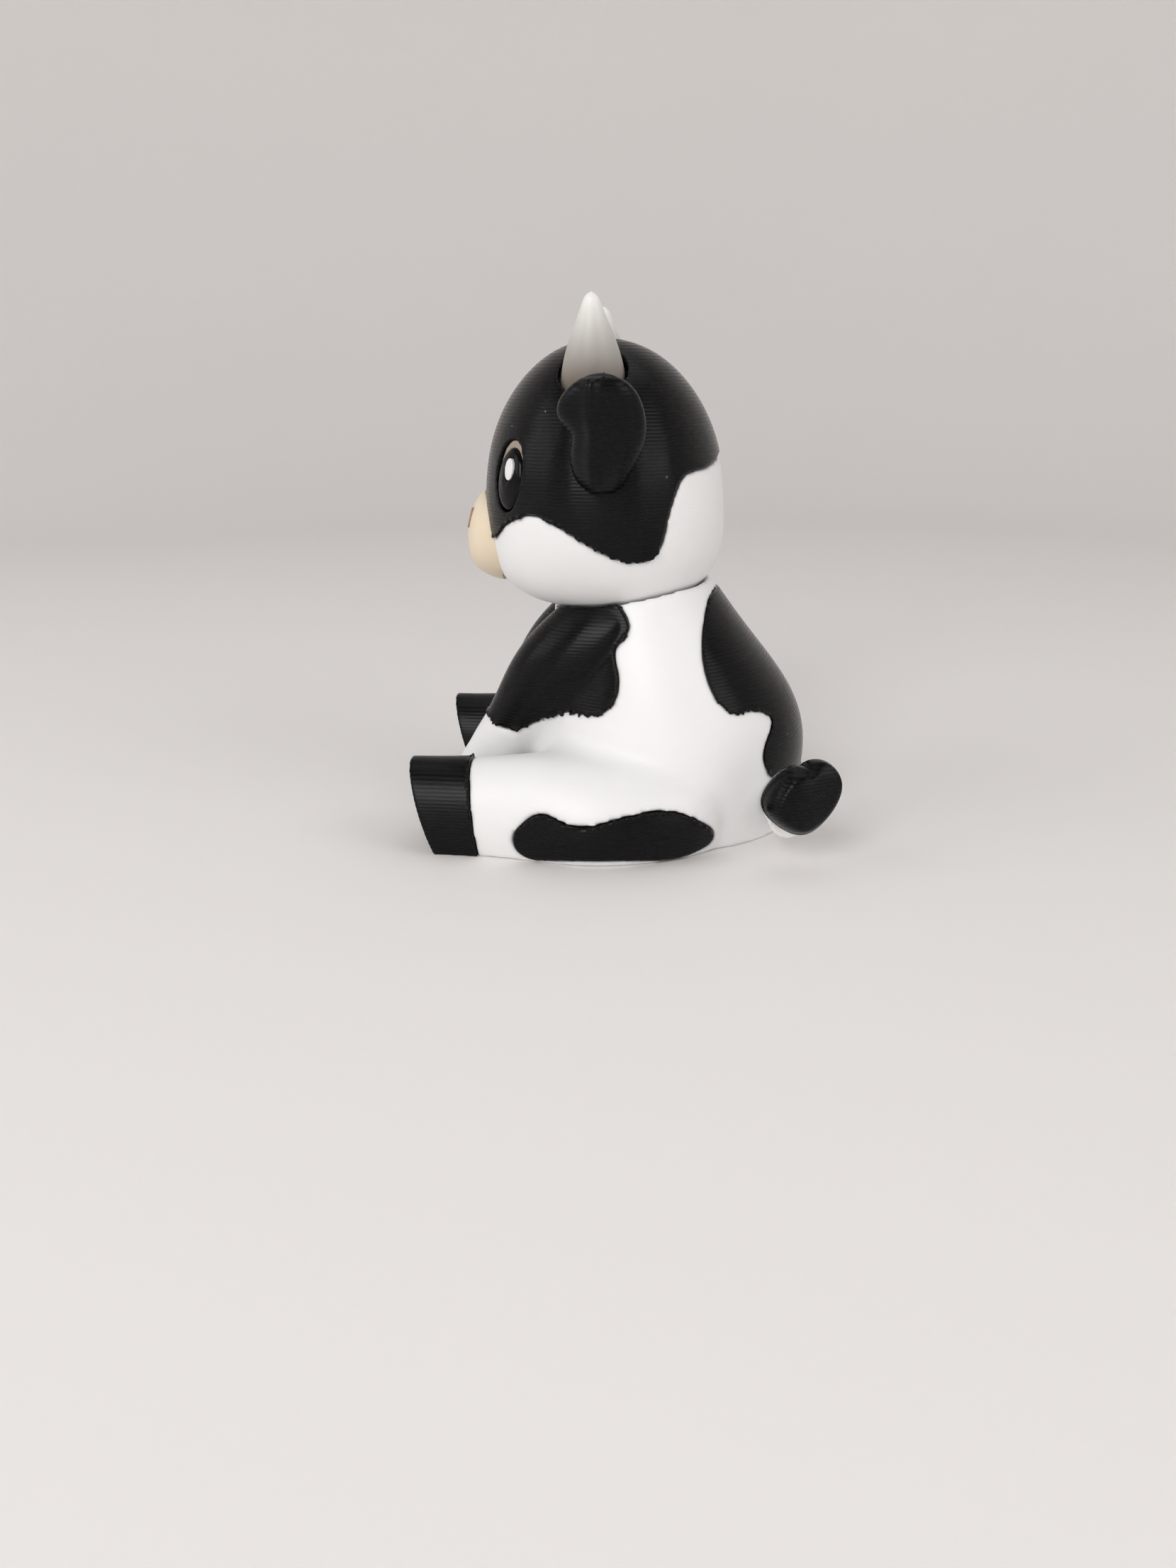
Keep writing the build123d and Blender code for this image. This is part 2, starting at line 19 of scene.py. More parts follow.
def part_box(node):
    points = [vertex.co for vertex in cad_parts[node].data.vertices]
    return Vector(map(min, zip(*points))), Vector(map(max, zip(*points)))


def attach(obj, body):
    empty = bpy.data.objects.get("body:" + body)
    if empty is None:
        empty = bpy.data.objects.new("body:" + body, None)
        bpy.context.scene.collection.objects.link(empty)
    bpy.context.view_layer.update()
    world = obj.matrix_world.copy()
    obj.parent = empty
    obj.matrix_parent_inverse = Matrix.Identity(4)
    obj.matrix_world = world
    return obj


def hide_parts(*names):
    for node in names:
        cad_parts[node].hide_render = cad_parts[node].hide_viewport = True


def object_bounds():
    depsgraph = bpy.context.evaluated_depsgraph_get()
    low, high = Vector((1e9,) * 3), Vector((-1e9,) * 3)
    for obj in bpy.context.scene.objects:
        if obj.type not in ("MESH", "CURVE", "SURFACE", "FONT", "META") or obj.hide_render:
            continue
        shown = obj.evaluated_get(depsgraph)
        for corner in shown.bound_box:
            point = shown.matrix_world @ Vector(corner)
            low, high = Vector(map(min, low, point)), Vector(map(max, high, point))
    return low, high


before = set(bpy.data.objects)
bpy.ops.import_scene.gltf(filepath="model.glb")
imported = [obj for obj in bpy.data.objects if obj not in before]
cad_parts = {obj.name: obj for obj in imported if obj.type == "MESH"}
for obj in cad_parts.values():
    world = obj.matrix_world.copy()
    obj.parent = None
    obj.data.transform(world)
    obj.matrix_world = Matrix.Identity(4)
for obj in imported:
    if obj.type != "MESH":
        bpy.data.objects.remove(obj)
cad_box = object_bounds()
scene = bpy.context.scene
MM = 0.001

# %% [markdown]
# Colour first. A hex value is how a screen stores a colour, and it isn't proportional to light. Blender
# mixes light, so every hex value goes through the sRGB curve once, here, and nowhere else.


# %% Hex colour to light
def light_from_hex(code):
    """Linear red, green, blue and alpha of an sRGB hex code."""
    shares = [int(code[i : i + 2], 16) / 255 for i in (1, 3, 5)]
    linear = [s / 12.92 if s <= 0.04045 else ((s + 0.055) / 1.055) ** 2.4 for s in shares]
    return (*linear, 1.0)


print("mid grey #808080 is", round(light_from_hex("#808080")[0], 3), "of full light")

# %% [markdown]
# A material is a tree of nodes. One small function adds a node, sets its settings and fills its sockets,
# either with a value or with a wire from another node. A second one starts an empty material. Everything
# below is written with these two.


# %% One function for nodes
def add(tree, kind, settings=None, **sockets):
    """New node. A socket's name is written with underscores, or as in_0, in_1 for its place."""
    made = tree.nodes.new(kind)
    for key, value in (settings or {}).items():
        setattr(made, key, value)
    for key, value in sockets.items():
        place = int(key[3:]) if key.startswith("in_") else key.replace("_", " ")
        target = made.inputs[place]
        if isinstance(value, bpy.types.NodeSocket):
            tree.links.new(value, target)
        else:
            target.default_value = value
    return made


def new_material(name):
    """Empty material, its tree, its output and the place on the object in metres."""
    material = bpy.data.materials.new(name)
    material.use_nodes = True
    tree = material.node_tree
    tree.nodes.clear()
    output = add(tree, "ShaderNodeOutputMaterial")
    place = add(tree, "ShaderNodeTexCoord").outputs["Object"]
    return material, tree, output, place


print("made:", add.__name__, "and", new_material.__name__)

# %% [markdown]
# Printed filament is laid in level layers, and their ridges are what tells a print from a moulding. The
# real layers are 0.2 mm high. The picture has about five pixels to the millimetre, so layers that fine
# would melt into grey, and they are drawn 0.45 mm high instead. A wave texture has its crests
# 2 pi / 20 apart at scale 1, which gives the scale for any layer height. A nozzle doesn't lay every layer
# alike, so a slow noise makes the ridges deep in some places and leaves others almost smooth. Ridges this
# small would need millions of faces, so they are a bump: it bends the light and leaves the outline alone.

# %% Layers of filament
LAYER = 0.45 * MM
DENT = 2.5 * MM
UNEVEN_STRETCH = 7 * MM
WAVE_AT_SCALE_1 = 2 * np.pi / 20


def layer_lines(tree, place, depth, roll):
    """Normals of printed layers, with level ridges and a slow unevenness of the skin, and the ridges."""
    ridges = add(
        tree, "ShaderNodeTexWave",
        {"wave_type": "BANDS", "bands_direction": "Z", "wave_profile": "SIN"},
        Vector=place, Scale=WAVE_AT_SCALE_1 / LAYER, Distortion=0.6, Detail=1.0, Detail_Scale=0.4,
    )
    dents = add(tree, "ShaderNodeTexNoise", Vector=place, Scale=1 / DENT, Detail=3.0)
    slow = add(tree, "ShaderNodeTexNoise", Vector=place, Scale=1 / UNEVEN_STRETCH, Detail=2.0)
    share = add(
        tree, "ShaderNodeMapRange",
        Value=slow.outputs["Fac"], From_Min=0.42, From_Max=0.68, To_Min=0.12,
    )
    uneven = add(
        tree, "ShaderNodeMath", {"operation": "MULTIPLY"},
        in_0=ridges.outputs["Fac"], in_1=share.outputs["Result"],
    )
    layers = add(
        tree, "ShaderNodeBump", Strength=1.0, Distance=depth, Height=uneven.outputs["Value"],
    )
    skin = add(
        tree, "ShaderNodeBump", Strength=1.0, Distance=roll, Height=dents.outputs["Fac"],
        Normal=layers.outputs["Normal"],
    )
    return skin.outputs["Normal"], ridges.outputs["Fac"]


print("wave scale for a layer:", round(WAVE_AT_SCALE_1 / LAYER))

# %% [markdown]
# Polylactic acid, PLA, is the common filament. It is a little see-through, with an index of refraction
# of 1.46, and a printed skin is satin: roughness about 0.4, a little more on the ridges. White PLA is
# filled with titanium dioxide, so light goes a short way in and comes out again softly, which is what
# subsurface scattering is for. A slow cloud between two close tones keeps the white from looking flat.

# %% White PLA
PLA_IOR = 1.46
MILKY_SPREAD = (1.0, 0.95, 0.85)  # how far red, green and blue light go in


def plain_pla(name, pale, deep, cloud_size, scatter, spread):
    """Satin filament in two close tones, slightly see-through, its layers faint."""
    material, tree, output, place = new_material(name)
    normal, ridges = layer_lines(tree, place, depth=0.006 * MM, roll=0.03 * MM)
    cloud = add(tree, "ShaderNodeTexNoise", Vector=place, Scale=1 / cloud_size, Detail=3.0)
    tone = add(
        tree, "ShaderNodeMix", {"data_type": "RGBA"},
        in_0=cloud.outputs["Fac"], in_6=light_from_hex(pale), in_7=light_from_hex(deep),
    )
    gloss = add(tree, "ShaderNodeMapRange", Value=ridges, To_Min=0.38, To_Max=0.46)
    shader = add(
        tree, "ShaderNodeBsdfPrincipled",
        Base_Color=tone.outputs[2], Roughness=gloss.outputs["Result"], IOR=PLA_IOR, Normal=normal,
        Subsurface_Weight=scatter, Subsurface_Radius=spread, Subsurface_Scale=1.2 * MM,
    )
    tree.links.new(shader.outputs["BSDF"], output.inputs["Surface"])
    return material


WHITE = plain_pla("white_pla_filament", "#F4F4F4", "#EDEDED", 9 * MM, 0.25, MILKY_SPREAD)
print(WHITE.name, "has", len(WHITE.node_tree.nodes), "nodes")

# %% [markdown]
# The muzzle is peach filament and the nostrils are brown, both the same plastic as the white with a dye
# in it. Warm dyes take up blue light first, so red light spreads further inside. The ring round each pupil
# is white plastic sunk deep in its socket. Here it gets a grey-brown, which is painted shade, and it
# shows as a thin crescent. It is made with the same recipe as the dyed pieces.

# %% Dyed PLA, and the eye ring in painted shade
DYED_SPREAD = (1.0, 0.7, 0.5)
DYED_CLOUD = 6 * MM
PEACH = plain_pla("peach_pla_filament", "#ECDFC9", "#E3D1B6", DYED_CLOUD, 0.3, DYED_SPREAD)
# painted shade: the white eye ring is coloured grey-brown for the shade it sits in, deep in its socket
EYE_RING_PAINTED_SHADE = plain_pla("eye_ring_painted_shade", "#A89C8F", "#978B7E", DYED_CLOUD, 0.2, DYED_SPREAD)
BROWN = plain_pla("brown_pla_filament", "#A8826A", "#926C56", DYED_CLOUD, 0.1, DYED_SPREAD)
print("dyed:", PEACH.name, EYE_RING_PAINTED_SHADE.name, BROWN.name)

# %% [markdown]
# Black PLA hides nothing. Its layers catch the light as fine level streaks, and dust sits on it as pale
# specks. The specks are the middles of a few cells of a Voronoi pattern: cells 3 mm across, a speck in
# about one cell in five. Layers too fine to draw still work as level grooves, and grooves stretch a
# highlight across themselves, so the highlight is anisotropic. Its tangent is level in the skin, as the
# cross product of the skin's normal and an upright axis gives it, and a quarter turn makes the streaks
# upright. The axis leans by a hair, so that a level face has a direction too. The grooves also trap
# light, which is why the specular level is a third of a smooth skin's.

# %% Black PLA
DUST_CELL = 3 * MM
DUST_CHOICE = 0.62  # a cell's chance value has to be above this
DUST_SPECK = 0.035  # radius of a speck, in cells
BLACK_CLOUD = 5 * MM
NEAR_UPRIGHT = (0.0, 0.01, 1.0)


def black_pla():
    """Black filament: satin with a grey sheen, clear layers and dust."""
    material, tree, output, place = new_material("black_pla_filament")
    normal, ridges = layer_lines(tree, place, depth=0.030 * MM, roll=0.03 * MM)
    cells = add(tree, "ShaderNodeTexVoronoi", Vector=place, Scale=1 / DUST_CELL)
    chosen = add(
        tree, "ShaderNodeMath", {"operation": "GREATER_THAN"},
        in_0=cells.outputs["Color"], in_1=DUST_CHOICE,
    )
    near = add(
        tree, "ShaderNodeMath", {"operation": "LESS_THAN"},
        in_0=cells.outputs["Distance"], in_1=DUST_SPECK,
    )
    dust = add(
        tree, "ShaderNodeMath", {"operation": "MULTIPLY"},
        in_0=chosen.outputs["Value"], in_1=near.outputs["Value"],
    )
    cloud = add(tree, "ShaderNodeTexNoise", Vector=place, Scale=1 / BLACK_CLOUD, Detail=4.0)
    tone = add(
        tree, "ShaderNodeMix", {"data_type": "RGBA"},
        in_0=cloud.outputs["Fac"], in_6=light_from_hex("#060607"), in_7=light_from_hex("#0B0B0D"),
    )
    dusted = add(
        tree, "ShaderNodeMix", {"data_type": "RGBA"},
        in_0=dust.outputs["Value"], in_6=tone.outputs[2], in_7=light_from_hex("#8C8C8A"),
    )
    gloss = add(tree, "ShaderNodeMapRange", Value=ridges, To_Min=0.20, To_Max=0.34)
    facing = add(tree, "ShaderNodeNewGeometry").outputs["Normal"]
    level = add(
        tree, "ShaderNodeVectorMath", {"operation": "CROSS_PRODUCT"}, in_0=facing, in_1=NEAR_UPRIGHT,
    )
    shader = add(
        tree, "ShaderNodeBsdfPrincipled",
        Base_Color=dusted.outputs[2], Roughness=gloss.outputs["Result"], IOR=PLA_IOR, Normal=normal,
        Specular_IOR_Level=0.18, Anisotropic=0.8, Anisotropic_Rotation=0.25,
        Tangent=level.outputs["Vector"],
    )
    tree.links.new(shader.outputs["BSDF"], output.inputs["Surface"])
    return material


BLACK = black_pla()
print(BLACK.name, "has", len(BLACK.node_tree.nodes), "nodes")

# %% [markdown]
# The horns are undyed PLA, milky and see-through. Light gets in at the thin tip, so the tip looks bright,
# and the thick foot over the black cap looks grey. True transmission would need many samples to come out
# clean, so a ramp over the height of the horn gives that change, and scattering gives the glow.

# %% Undyed PLA
HORN_GREY_BELOW = 11 * MM  # distances below the tip
HORN_BRIGHT_BELOW = 1 * MM


def undyed_pla():
    """Milky filament, brighter towards the tip of the horn."""
    material, tree, output, place = new_material("undyed_pla_filament")
    normal, ridges = layer_lines(tree, place, depth=0.008 * MM, roll=0.02 * MM)
    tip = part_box("horn_left")[1].z
    height = add(tree, "ShaderNodeSeparateXYZ", Vector=place).outputs["Z"]
    share = add(
        tree, "ShaderNodeMapRange",
        Value=height, From_Min=tip - HORN_GREY_BELOW, From_Max=tip - HORN_BRIGHT_BELOW,
    )
    tone = add(
        tree, "ShaderNodeMix", {"data_type": "RGBA"},
        in_0=share.outputs["Result"], in_6=light_from_hex("#70675C"), in_7=light_from_hex("#EAE9E6"),
    )
    gloss = add(tree, "ShaderNodeMapRange", Value=ridges, To_Min=0.36, To_Max=0.44)
    shader = add(
        tree, "ShaderNodeBsdfPrincipled",
        Base_Color=tone.outputs[2], Roughness=gloss.outputs["Result"], IOR=PLA_IOR, Normal=normal,
        Subsurface_Weight=0.6, Subsurface_Radius=MILKY_SPREAD, Subsurface_Scale=2.5 * MM,
    )
    tree.links.new(shader.outputs["BSDF"], output.inputs["Surface"])
    return material


UNDYED = undyed_pla()
print(UNDYED.name, "has", len(UNDYED.node_tree.nodes), "nodes")

# %% [markdown]
# The pupils are the only glossy pieces: smooth black plastic with a thin clear coat, so they reflect the
# lamps sharply. The lit spot in each is a white inlay with the same gloss. Fingers leave a faint smear,
# which changes the roughness a little from place to place.

# %% Glossy eye plastic
SMEAR = 1.5 * MM


def eye_gloss(name, pale, deep):
    """Smooth plastic under a clear coat."""
    material, tree, output, place = new_material(name)
    smear = add(tree, "ShaderNodeTexNoise", Vector=place, Scale=1 / SMEAR, Detail=2.0)
    tone = add(
        tree, "ShaderNodeMix", {"data_type": "RGBA"},
        in_0=smear.outputs["Fac"], in_6=light_from_hex(pale), in_7=light_from_hex(deep),
    )
    gloss = add(tree, "ShaderNodeMapRange", Value=smear.outputs["Fac"], To_Min=0.10, To_Max=0.22)
    shader = add(
        tree, "ShaderNodeBsdfPrincipled",
        Base_Color=tone.outputs[2], Roughness=gloss.outputs["Result"], IOR=1.5,
        Specular_IOR_Level=0.12, Coat_Weight=0.05, Coat_Roughness=0.06,
    )
    tree.links.new(shader.outputs["BSDF"], output.inputs["Surface"])
    return material


PUPIL = eye_gloss("pupil_gloss_plastic", "#060607", "#0B0B0D")
GLINT = eye_gloss("glint_gloss_plastic", "#EFEFEF", "#E2E2E2")
print("glossy:", PUPIL.name, GLINT.name)

# %% [markdown]
# Where a print hangs over air, the thread has nothing to lie on and sags into small loops. On this cow the
# loops hang from the lower edges of the cap, the back patch and the shoulder patches, and stand along
# the upper edges of the thigh patches, the hind hooves, the ears and the tuft. They are real plastic and
# they break the outline, so a bump won't do, and they are made as geometry: a row of small beads along
# the edge. An edge of a solid counts if one of its two faces looks down, or up, and the other doesn't.
# The hidden edges at the bottom of a pocket are left out by a test: a ray that starts a little beyond the
# edge and runs outwards meets the white piece if the edge is buried in it. Edges at the very outside of
# the figure stay clean, so that no loop makes the figure larger than its solids.

# %% Edges that get loops
THREAD = 0.4 * MM
WELD = 0.0005 * MM
LOOP_SPACING = 1.2  # in loop thicknesses
EDGE_STEPS = 4  # places tried in one spacing
EDGE_SLOPE = 0.55  # a face looks up, or down, if its normal has more than this upright
EDGE_SHARP = np.radians(35)


class Rough(NamedTuple):
    """Where loops of thread sit on a piece."""

    way: int  # 1 for edges that look up, -1 for edges that look down
    white: str | None  # white print that may bury an edge
    threads: float  # thickness of a loop, in threads
    top: float  # height in millimetres, with no loops above it


def net_of(node):
    """Solid of a CAD node with its corners joined."""
    net = bmesh.new()
    net.from_mesh(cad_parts[node].data)
    bmesh.ops.remove_doubles(net, verts=net.verts, dist=WELD)
    net.normal_update()
    return net


WHITES = {name: BVHTree.FromBMesh(net_of(name)) for name in ("torso", "head")}


def rough_edge(net, rough):
    """Places for loops on the sharp edges of a solid whose one face looks up, or down."""
    gap = LOOP_SPACING * rough.threads * THREAD
    pitch = gap / EDGE_STEPS
    beyond = Vector((0, 0, rough.way * THREAD))
    low, high = Vector(cad_box[0]), Vector(cad_box[1])
    places = []
    for edge in net.edges:
        if len(edge.link_faces) != 2 or edge.calc_face_angle() < EDGE_SHARP:
            continue
        start, end = (corner.co for corner in edge.verts)
        looks = sorted(face.normal.z * rough.way for face in edge.link_faces)
        if looks[1] < EDGE_SLOPE or looks[0] > EDGE_SLOPE or start.z > rough.top * MM:
            continue
        for share in np.arange(0, 1, pitch / max(edge.calc_length(), pitch)):
            place = start.lerp(end, share)
            if min(*(place - low), *(high - place)) < 2 * THREAD:
                continue
            outwards = Vector((place.x, place.y, 0)).normalized()
            if rough.white and WHITES[rough.white].ray_cast(place + beyond, outwards)[0]:
                continue
            if all((place - other).length > gap for other in places):
                places.append(place)
    return places


print("a thread is", THREAD / MM, "mm thick")

# %% [markdown]
# No two loops are alike. Chance leaves out one place in three, moves each bead a little along the way that
# the edge looks, and sets its size. The chance numbers start from a fixed seed, so every run is the same.

# %% Rows of loops
LOOPS_LEFT_OUT = 0.33
LOOP_LEAST = 0.5  # radius of a bead, in loop thicknesses
LOOP_MORE = 0.4
chance = np.random.default_rng(7)


def add_loops(net, places, rough):
    """Beads of thread at two places out of three, each moved on by a chance step."""
    thick = rough.threads * THREAD
    for place in places:
        if chance.random() < LOOPS_LEFT_OUT:
            continue
        step = Vector((0, 0, rough.way * thick * chance.random() ** 2))
        size = thick * (LOOP_LEAST + LOOP_MORE * chance.random())
        spot = Matrix.Translation(place + step)
        bmesh.ops.create_icosphere(net, subdivisions=2, radius=size, matrix=spot)


print("beads are", 2 * LOOP_LEAST, "to", 2 * (LOOP_LEAST + LOOP_MORE), "loops across")

# %% [markdown]
# A CAD solid reaches Blender as flat facets with knife edges. A print has neither: the nozzle leaves one
# even skin, and each edge has the round of a bead of plastic. A bevel would trip over the thin facets of a
# CAD net, so a voxel remesh turns a solid and its loops into an even net of small squares instead, and a
# few smoothing steps round its edges by about one square. The net is finer on small pieces, so an eye
# keeps its shape while the body stays light.


# %% Printed skin
def even_skin(piece, voxel, steps):
    """Mesh of a piece after a voxel remesh and some steps of smoothing."""
    even = piece.modifiers.new("even_net", "REMESH")
    even.mode = "VOXEL"
    even.voxel_size = voxel * MM
    round_off = piece.modifiers.new("round_off", "SMOOTH")
    round_off.factor = 0.5
    round_off.iterations = steps
    bpy.context.view_layer.update()
    worked_out = piece.evaluated_get(bpy.context.evaluated_depsgraph_get())
    skin = bpy.data.meshes.new_from_object(worked_out)
    piece.modifiers.clear()
    return skin


def printed(node, body, slot, material, voxel, steps=4, rough=None, shape=None):
    """Piece that stands for a CAD node: one even skin with rounded edges and rows of loops."""
    net = net_of(node)
    if rough:
        places = rough_edge(net, rough)
        add_loops(net, places, rough)
        print(node, "places for loops:", len(places))
    solid = bpy.data.meshes.new("solid_" + node)
    net.to_mesh(solid)
    net.free()
    piece = bpy.data.objects.new("printed_" + node, solid)
    scene.collection.objects.link(piece)
    skin = even_skin(piece, voxel, steps)
    piece.data = skin
    if shape:
        corners = np.empty(3 * len(skin.vertices))
        skin.vertices.foreach_get("co", corners)
        skin.vertices.foreach_set("co", shape(corners.reshape(-1, 3) / MM).ravel() * MM)
    skin.name = piece.name
    skin.materials.clear()
    skin.materials.append(material)
    skin.polygons.foreach_set("use_smooth", np.ones(len(skin.polygons), bool))
    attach(piece, body)
    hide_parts(node)
    return piece


print("made:", even_skin.__name__, "and", printed.__name__)

# %% [markdown]
# The white prints are the body, the head and the tail. The body and the head are large and smooth, so
# their squares can be coarse.

# %% White pieces
body_print = printed("torso", "body", "white_pla", WHITE, voxel=0.40, steps=6)
head_print = printed("head", "head", "white_pla", WHITE, voxel=0.40, steps=6)
tail_print = printed("tail", "body", "white_pla", WHITE, voxel=0.25)
print("white skins:", [len(p.data.polygons) for p in (body_print, head_print, tail_print)])

# %% [markdown]
# An ear isn't a plain leaf. It is folded along a line a little ahead of its middle, so a soft ridge runs
# up its outer side and catches the light, and its front edge draws in below the lobe. The fold is a bell
# curve over the distance from the line, and it fades out on the inner side of the ear. The tuft of the
# tail is domed on its outer side. Both are small changes to a finished skin, so they are sums over its
# corners, in millimetres.

# %% Shapes of the ears and the tuft
EAR_LEAN = np.radians(29)
EAR_FACE = 1.2  # from the middle of the ear's thickness to its outer face
EAR_FOLD_Y = -0.4  # place of the fold along the head
EAR_FOLD_RISE = 0.8
EAR_FOLD_WIDTH = 1.1
EAR_WAIST_Z = 56.6
EAR_WAIST_IN = 1.1
EAR_WAIST_WIDTH = 1.8
EAR_FRONT_Y = 4  # how far the front edge lies ahead of the ear's line
TUFT_RIM = 5.2
TUFT_FALL = 1.3
TUFT_FACE = 2  # from the middle of the tuft to its outer face


def folded_ear(points):
    """Ear with a ridge on its outer side and a waist in its front edge."""
    x, y, z = points.T
    middle = np.abs(points[:, [0]]).mean() + (z - z.mean()) * np.tan(EAR_LEAN)
    outside = np.clip((np.abs(x) - middle) / EAR_FACE, 0, 1)
    ridge = EAR_FOLD_RISE * outside * np.exp(-(((y - EAR_FOLD_Y) / EAR_FOLD_WIDTH) ** 2))
    front = np.clip(-y / EAR_FRONT_Y, 0, 1)
    waist = EAR_WAIST_IN * front * np.exp(-(((z - EAR_WAIST_Z) / EAR_WAIST_WIDTH) ** 2))
    return np.stack([x + np.sign(x) * ridge, y + waist, z], axis=1)


def domed_tuft(points):
    """Tuft whose outer face falls away towards its rim."""
    middle = (points.min(axis=0) + points.max(axis=0)) / 2
    x, y, z = (points - middle).T
    rim = (y**2 + z**2) / TUFT_RIM**2
    fall = TUFT_FALL * rim * np.clip(x / TUFT_FACE, 0, 1)
    return points - np.stack([fall, 0 * y, 0 * z], axis=1)


print("the ear's ridge rises", EAR_FOLD_RISE, "mm, the tuft's rim falls", TUFT_FALL, "mm")

# %% [markdown]
# The black prints: the cap and the ears turn with the head, the rest stays with the body. The cap and the
# shoulder patches have the thickest loops, as in the picture.

# %% Black pieces
CAP_LOOPS = Rough(-1, "head", 1.0, 46)
BACK_LOOPS = Rough(-1, "torso", 0.8, 30)
TUFT_LOOPS = Rough(1, None, 0.8, 30)
EAR_LOOPS = Rough(1, None, 0.8, 70)
COAT_LOOPS = {
    "shoulder_patch": Rough(-1, "torso", 1.0, 40),
    "thigh_patch": Rough(1, "torso", 0.7, 40),
    "hind_hoof": Rough(1, "torso", 0.6, 40),
}
black_prints = [
    printed("head_cap", "head", "black_pla", BLACK, voxel=0.23, steps=3, rough=CAP_LOOPS),
    printed("back_patch", "body", "black_pla", BLACK, voxel=0.20, steps=3, rough=BACK_LOOPS),
    printed(
        "tail_tuft", "body", "black_pla", BLACK,
        voxel=0.18, steps=8, rough=TUFT_LOOPS, shape=domed_tuft,
    ),
]
for side in ("left", "right"):
    black_prints.append(
        printed(
            f"ear_{side}", "head", "black_pla", BLACK,
            voxel=0.18, steps=3, rough=EAR_LOOPS, shape=folded_ear,
        )
    )
    for coat, loops in COAT_LOOPS.items():
        black_prints.append(
            printed(f"{coat}_{side}", "body", "black_pla", BLACK, voxel=0.20, steps=3, rough=loops)
        )
    black_prints.append(printed(f"front_hoof_{side}", "body", "black_pla", BLACK, voxel=0.20, steps=3))
print("black skins:", sum(len(p.data.polygons) for p in black_prints))

# %% [markdown]
# The face: muzzle, nostrils, eyes and horns. The muzzle's sides are drawn in a little, so that from the
# side no more of it shows than in the picture. Its rim goes on into the head and leaves no gap. An eye is
# three inlays in each other: a ring, a domed pupil and a lit spot.

# %% Face pieces
MUZZLE_DRAW_IN = 0.78


def drawn_in(points):
    """Points moved nearer to the middle plane of the cow."""
    return points * (MUZZLE_DRAW_IN, 1, 1)


face_prints = [printed("muzzle", "head", "peach_pla", PEACH, voxel=0.20, shape=drawn_in)]
for side in ("left", "right"):
    face_prints += [
        printed(f"horn_{side}", "head", "natural_pla", UNDYED, voxel=0.20),
        printed(f"nostril_{side}", "head", "brown_pla", BROWN, voxel=0.12, shape=drawn_in),
        # the eye ring's grey-brown is painted shade on white plastic
        printed(f"eye_white_{side}", "head", "eye_white_pla", EYE_RING_PAINTED_SHADE, voxel=0.15, steps=2),
        printed(f"pupil_{side}", "head", "pupil_gloss", PUPIL, voxel=0.12, steps=3),
        printed(f"eye_glint_{side}", "head", "glint_white", GLINT, voxel=0.10, steps=2),
    ]
print("face skins:", sum(len(p.data.polygons) for p in face_prints))

# %% [markdown]
# The stage is a light tent, as used for pictures of small things: a round floor of pale paper that sweeps
# up into a wall on all sides, so that no corner shows behind the cow from wherever it is seen. It is a
# profile turned about the upright axis: a flat floor, a quarter circle and a wall.

# %% Light tent
TENT_RADIUS = 0.70
TENT_SWEEP = 0.28
TENT_HEIGHT = 1.0
TENT_PARTS = 72
SWEEP_STEPS = 12
profile = []
for step in range(SWEEP_STEPS + 1):
    turned = step / SWEEP_STEPS * np.pi / 2
    inward, rise = TENT_SWEEP * (1 - np.sin(turned)), TENT_SWEEP * (1 - np.cos(turned))
    profile.append((TENT_RADIUS - inward, rise))
profile.append((TENT_RADIUS, TENT_HEIGHT))
angles = np.arange(TENT_PARTS) / TENT_PARTS * 2 * np.pi
tent_corners = [(r * np.cos(a), r * np.sin(a), z) for r, z in profile for a in angles]
tent_faces = [tuple(range(TENT_PARTS))]
for ring in range(len(profile) - 1):
    for part in range(TENT_PARTS):
        here = ring * TENT_PARTS + part
        beside = ring * TENT_PARTS + (part + 1) % TENT_PARTS
        tent_faces.append((here, here + TENT_PARTS, beside + TENT_PARTS, beside))
tent_mesh = bpy.data.meshes.new("light_tent")
tent_mesh.from_pydata(tent_corners, [], tent_faces)
tent_mesh.polygons.foreach_set("use_smooth", np.ones(len(tent_faces), bool))
tent = bpy.data.objects.new("light_tent", tent_mesh)
scene.collection.objects.link(tent)
print("tent:", len(tent_faces), "faces")

# %% [markdown]
# The paper is matt and nearly even: two close tones, mixed by a slow cloud. It is a warm white, and it
# comes out pale grey behind the cow because the lamps are aimed at the cow and not at the wall.

# %% Studio paper
PAPER_CLOUD = 0.25
paper, paper_tree, paper_output, paper_place = new_material("studio_paper")
paper_cloud = add(
    paper_tree, "ShaderNodeTexNoise", Vector=paper_place, Scale=1 / PAPER_CLOUD, Detail=2.0,
)
paper_tone = add(
    paper_tree, "ShaderNodeMix", {"data_type": "RGBA"},
    in_0=paper_cloud.outputs["Fac"], in_6=light_from_hex("#F4F1EF"), in_7=light_from_hex("#F0EDEB"),
)
paper_shader = add(
    paper_tree, "ShaderNodeBsdfPrincipled", Base_Color=paper_tone.outputs[2], Roughness=0.7,
)
paper_tree.links.new(paper_shader.outputs["BSDF"], paper_output.inputs["Surface"])
tent_mesh.materials.append(paper)
print(paper.name, "has", len(paper_tree.nodes), "nodes")

# %% [markdown]
# Soft studio light. A square lamp of power P at a distance d lights a white card to full white when P is
# about pi squared times d squared, so lamps some 0.6 m away need about 3.5 watts between them. The key
# lamp stands on the camera's side, two weaker ones light the face and the back, and a wide one above
# opens the shadows.

# %% Lamps
LAMP_AIM = Vector((0, 0, 0.04))  # the middle of the cow
AIR_STRENGTH = 0.14


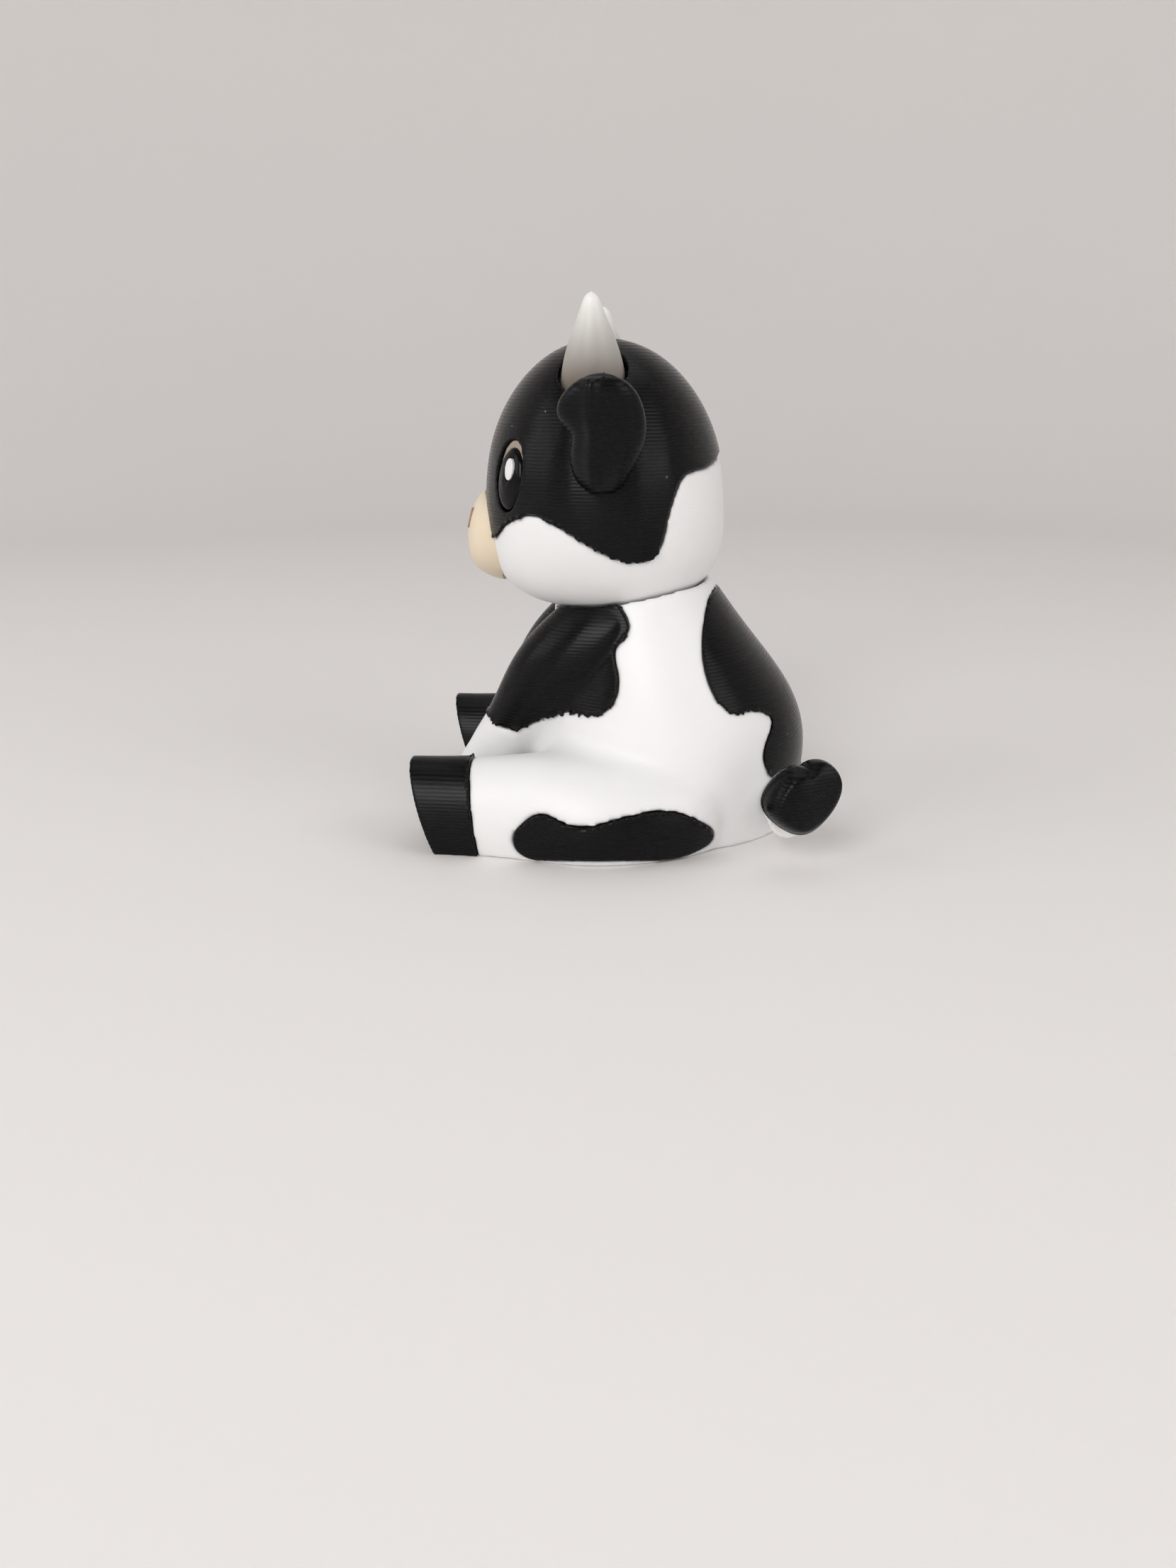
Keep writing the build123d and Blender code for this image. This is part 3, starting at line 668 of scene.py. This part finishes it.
def soft_lamp(name, place, size, watts):
    """Square lamp that faces the figure."""
    lamp = bpy.data.lights.new(name, "AREA")
    lamp.shape = "SQUARE"
    lamp.size = size
    lamp.energy = watts
    holder = bpy.data.objects.new(name, lamp)
    scene.collection.objects.link(holder)
    facing = (LAMP_AIM - Vector(place)).to_track_quat("-Z", "Y").to_matrix().to_4x4()
    holder.matrix_world = Matrix.Translation(place) @ facing


soft_lamp("key_lamp", (0.50, -0.16, 0.38), 0.30, 1.53)
soft_lamp("face_lamp", (0.16, -0.50, 0.36), 0.35, 0.58)
soft_lamp("back_lamp", (0.28, 0.48, 0.34), 0.35, 0.64)
soft_lamp("top_lamp", (-0.15, 0.05, 0.75), 0.55, 0.86)
world = bpy.data.worlds.new("studio_air")
scene.world = world
world.use_nodes = True
air = world.node_tree.nodes["Background"]
air.inputs["Color"].default_value = light_from_hex("#F4F4F6")
air.inputs["Strength"].default_value = AIR_STRENGTH
scene.view_settings.view_transform = "Standard"

# %% [markdown]
# The camera stands where the picture was taken: 17 cm from the cow's middle on its left, a little behind
# it, looking down by 19 degrees through a phone's wide lens. The right and up directions make its
# rotation, because three angles in a row are easy to get in the wrong order.

# %% Camera
CAMERA_PLACE = Vector((171.84, 9.62, 61.42)) * MM
CAMERA_YAW = np.radians(4.2)
CAMERA_DOWN = np.radians(18.78)
CAMERA_ROLL = np.radians(-0.563)
IMAGE_HEIGHT = 2212
FOCAL_PIXELS = 1613.76
ahead = Vector((-np.cos(CAMERA_YAW), -np.sin(CAMERA_YAW), 0))
level_right = Vector((-np.sin(CAMERA_YAW), np.cos(CAMERA_YAW), 0))
look = ahead * np.cos(CAMERA_DOWN) - Vector((0, 0, np.sin(CAMERA_DOWN)))
level_up = (-look).cross(level_right)
right = level_right * np.cos(CAMERA_ROLL) + level_up * np.sin(CAMERA_ROLL)
up = (-look).cross(right)
lens = bpy.data.cameras.new("photo_camera")
lens.sensor_fit = "VERTICAL"
lens.sensor_height = 36.0
lens.lens = FOCAL_PIXELS / IMAGE_HEIGHT * lens.sensor_height
lens.clip_start = 0.01
camera = bpy.data.objects.new("photo_camera", lens)
scene.collection.objects.link(camera)
camera_turn = Matrix((right, up, -look)).transposed()
camera.matrix_world = Matrix.Translation(CAMERA_PLACE) @ camera_turn.to_4x4()
scene.camera = camera
print("lens:", round(lens.lens, 2), "mm")
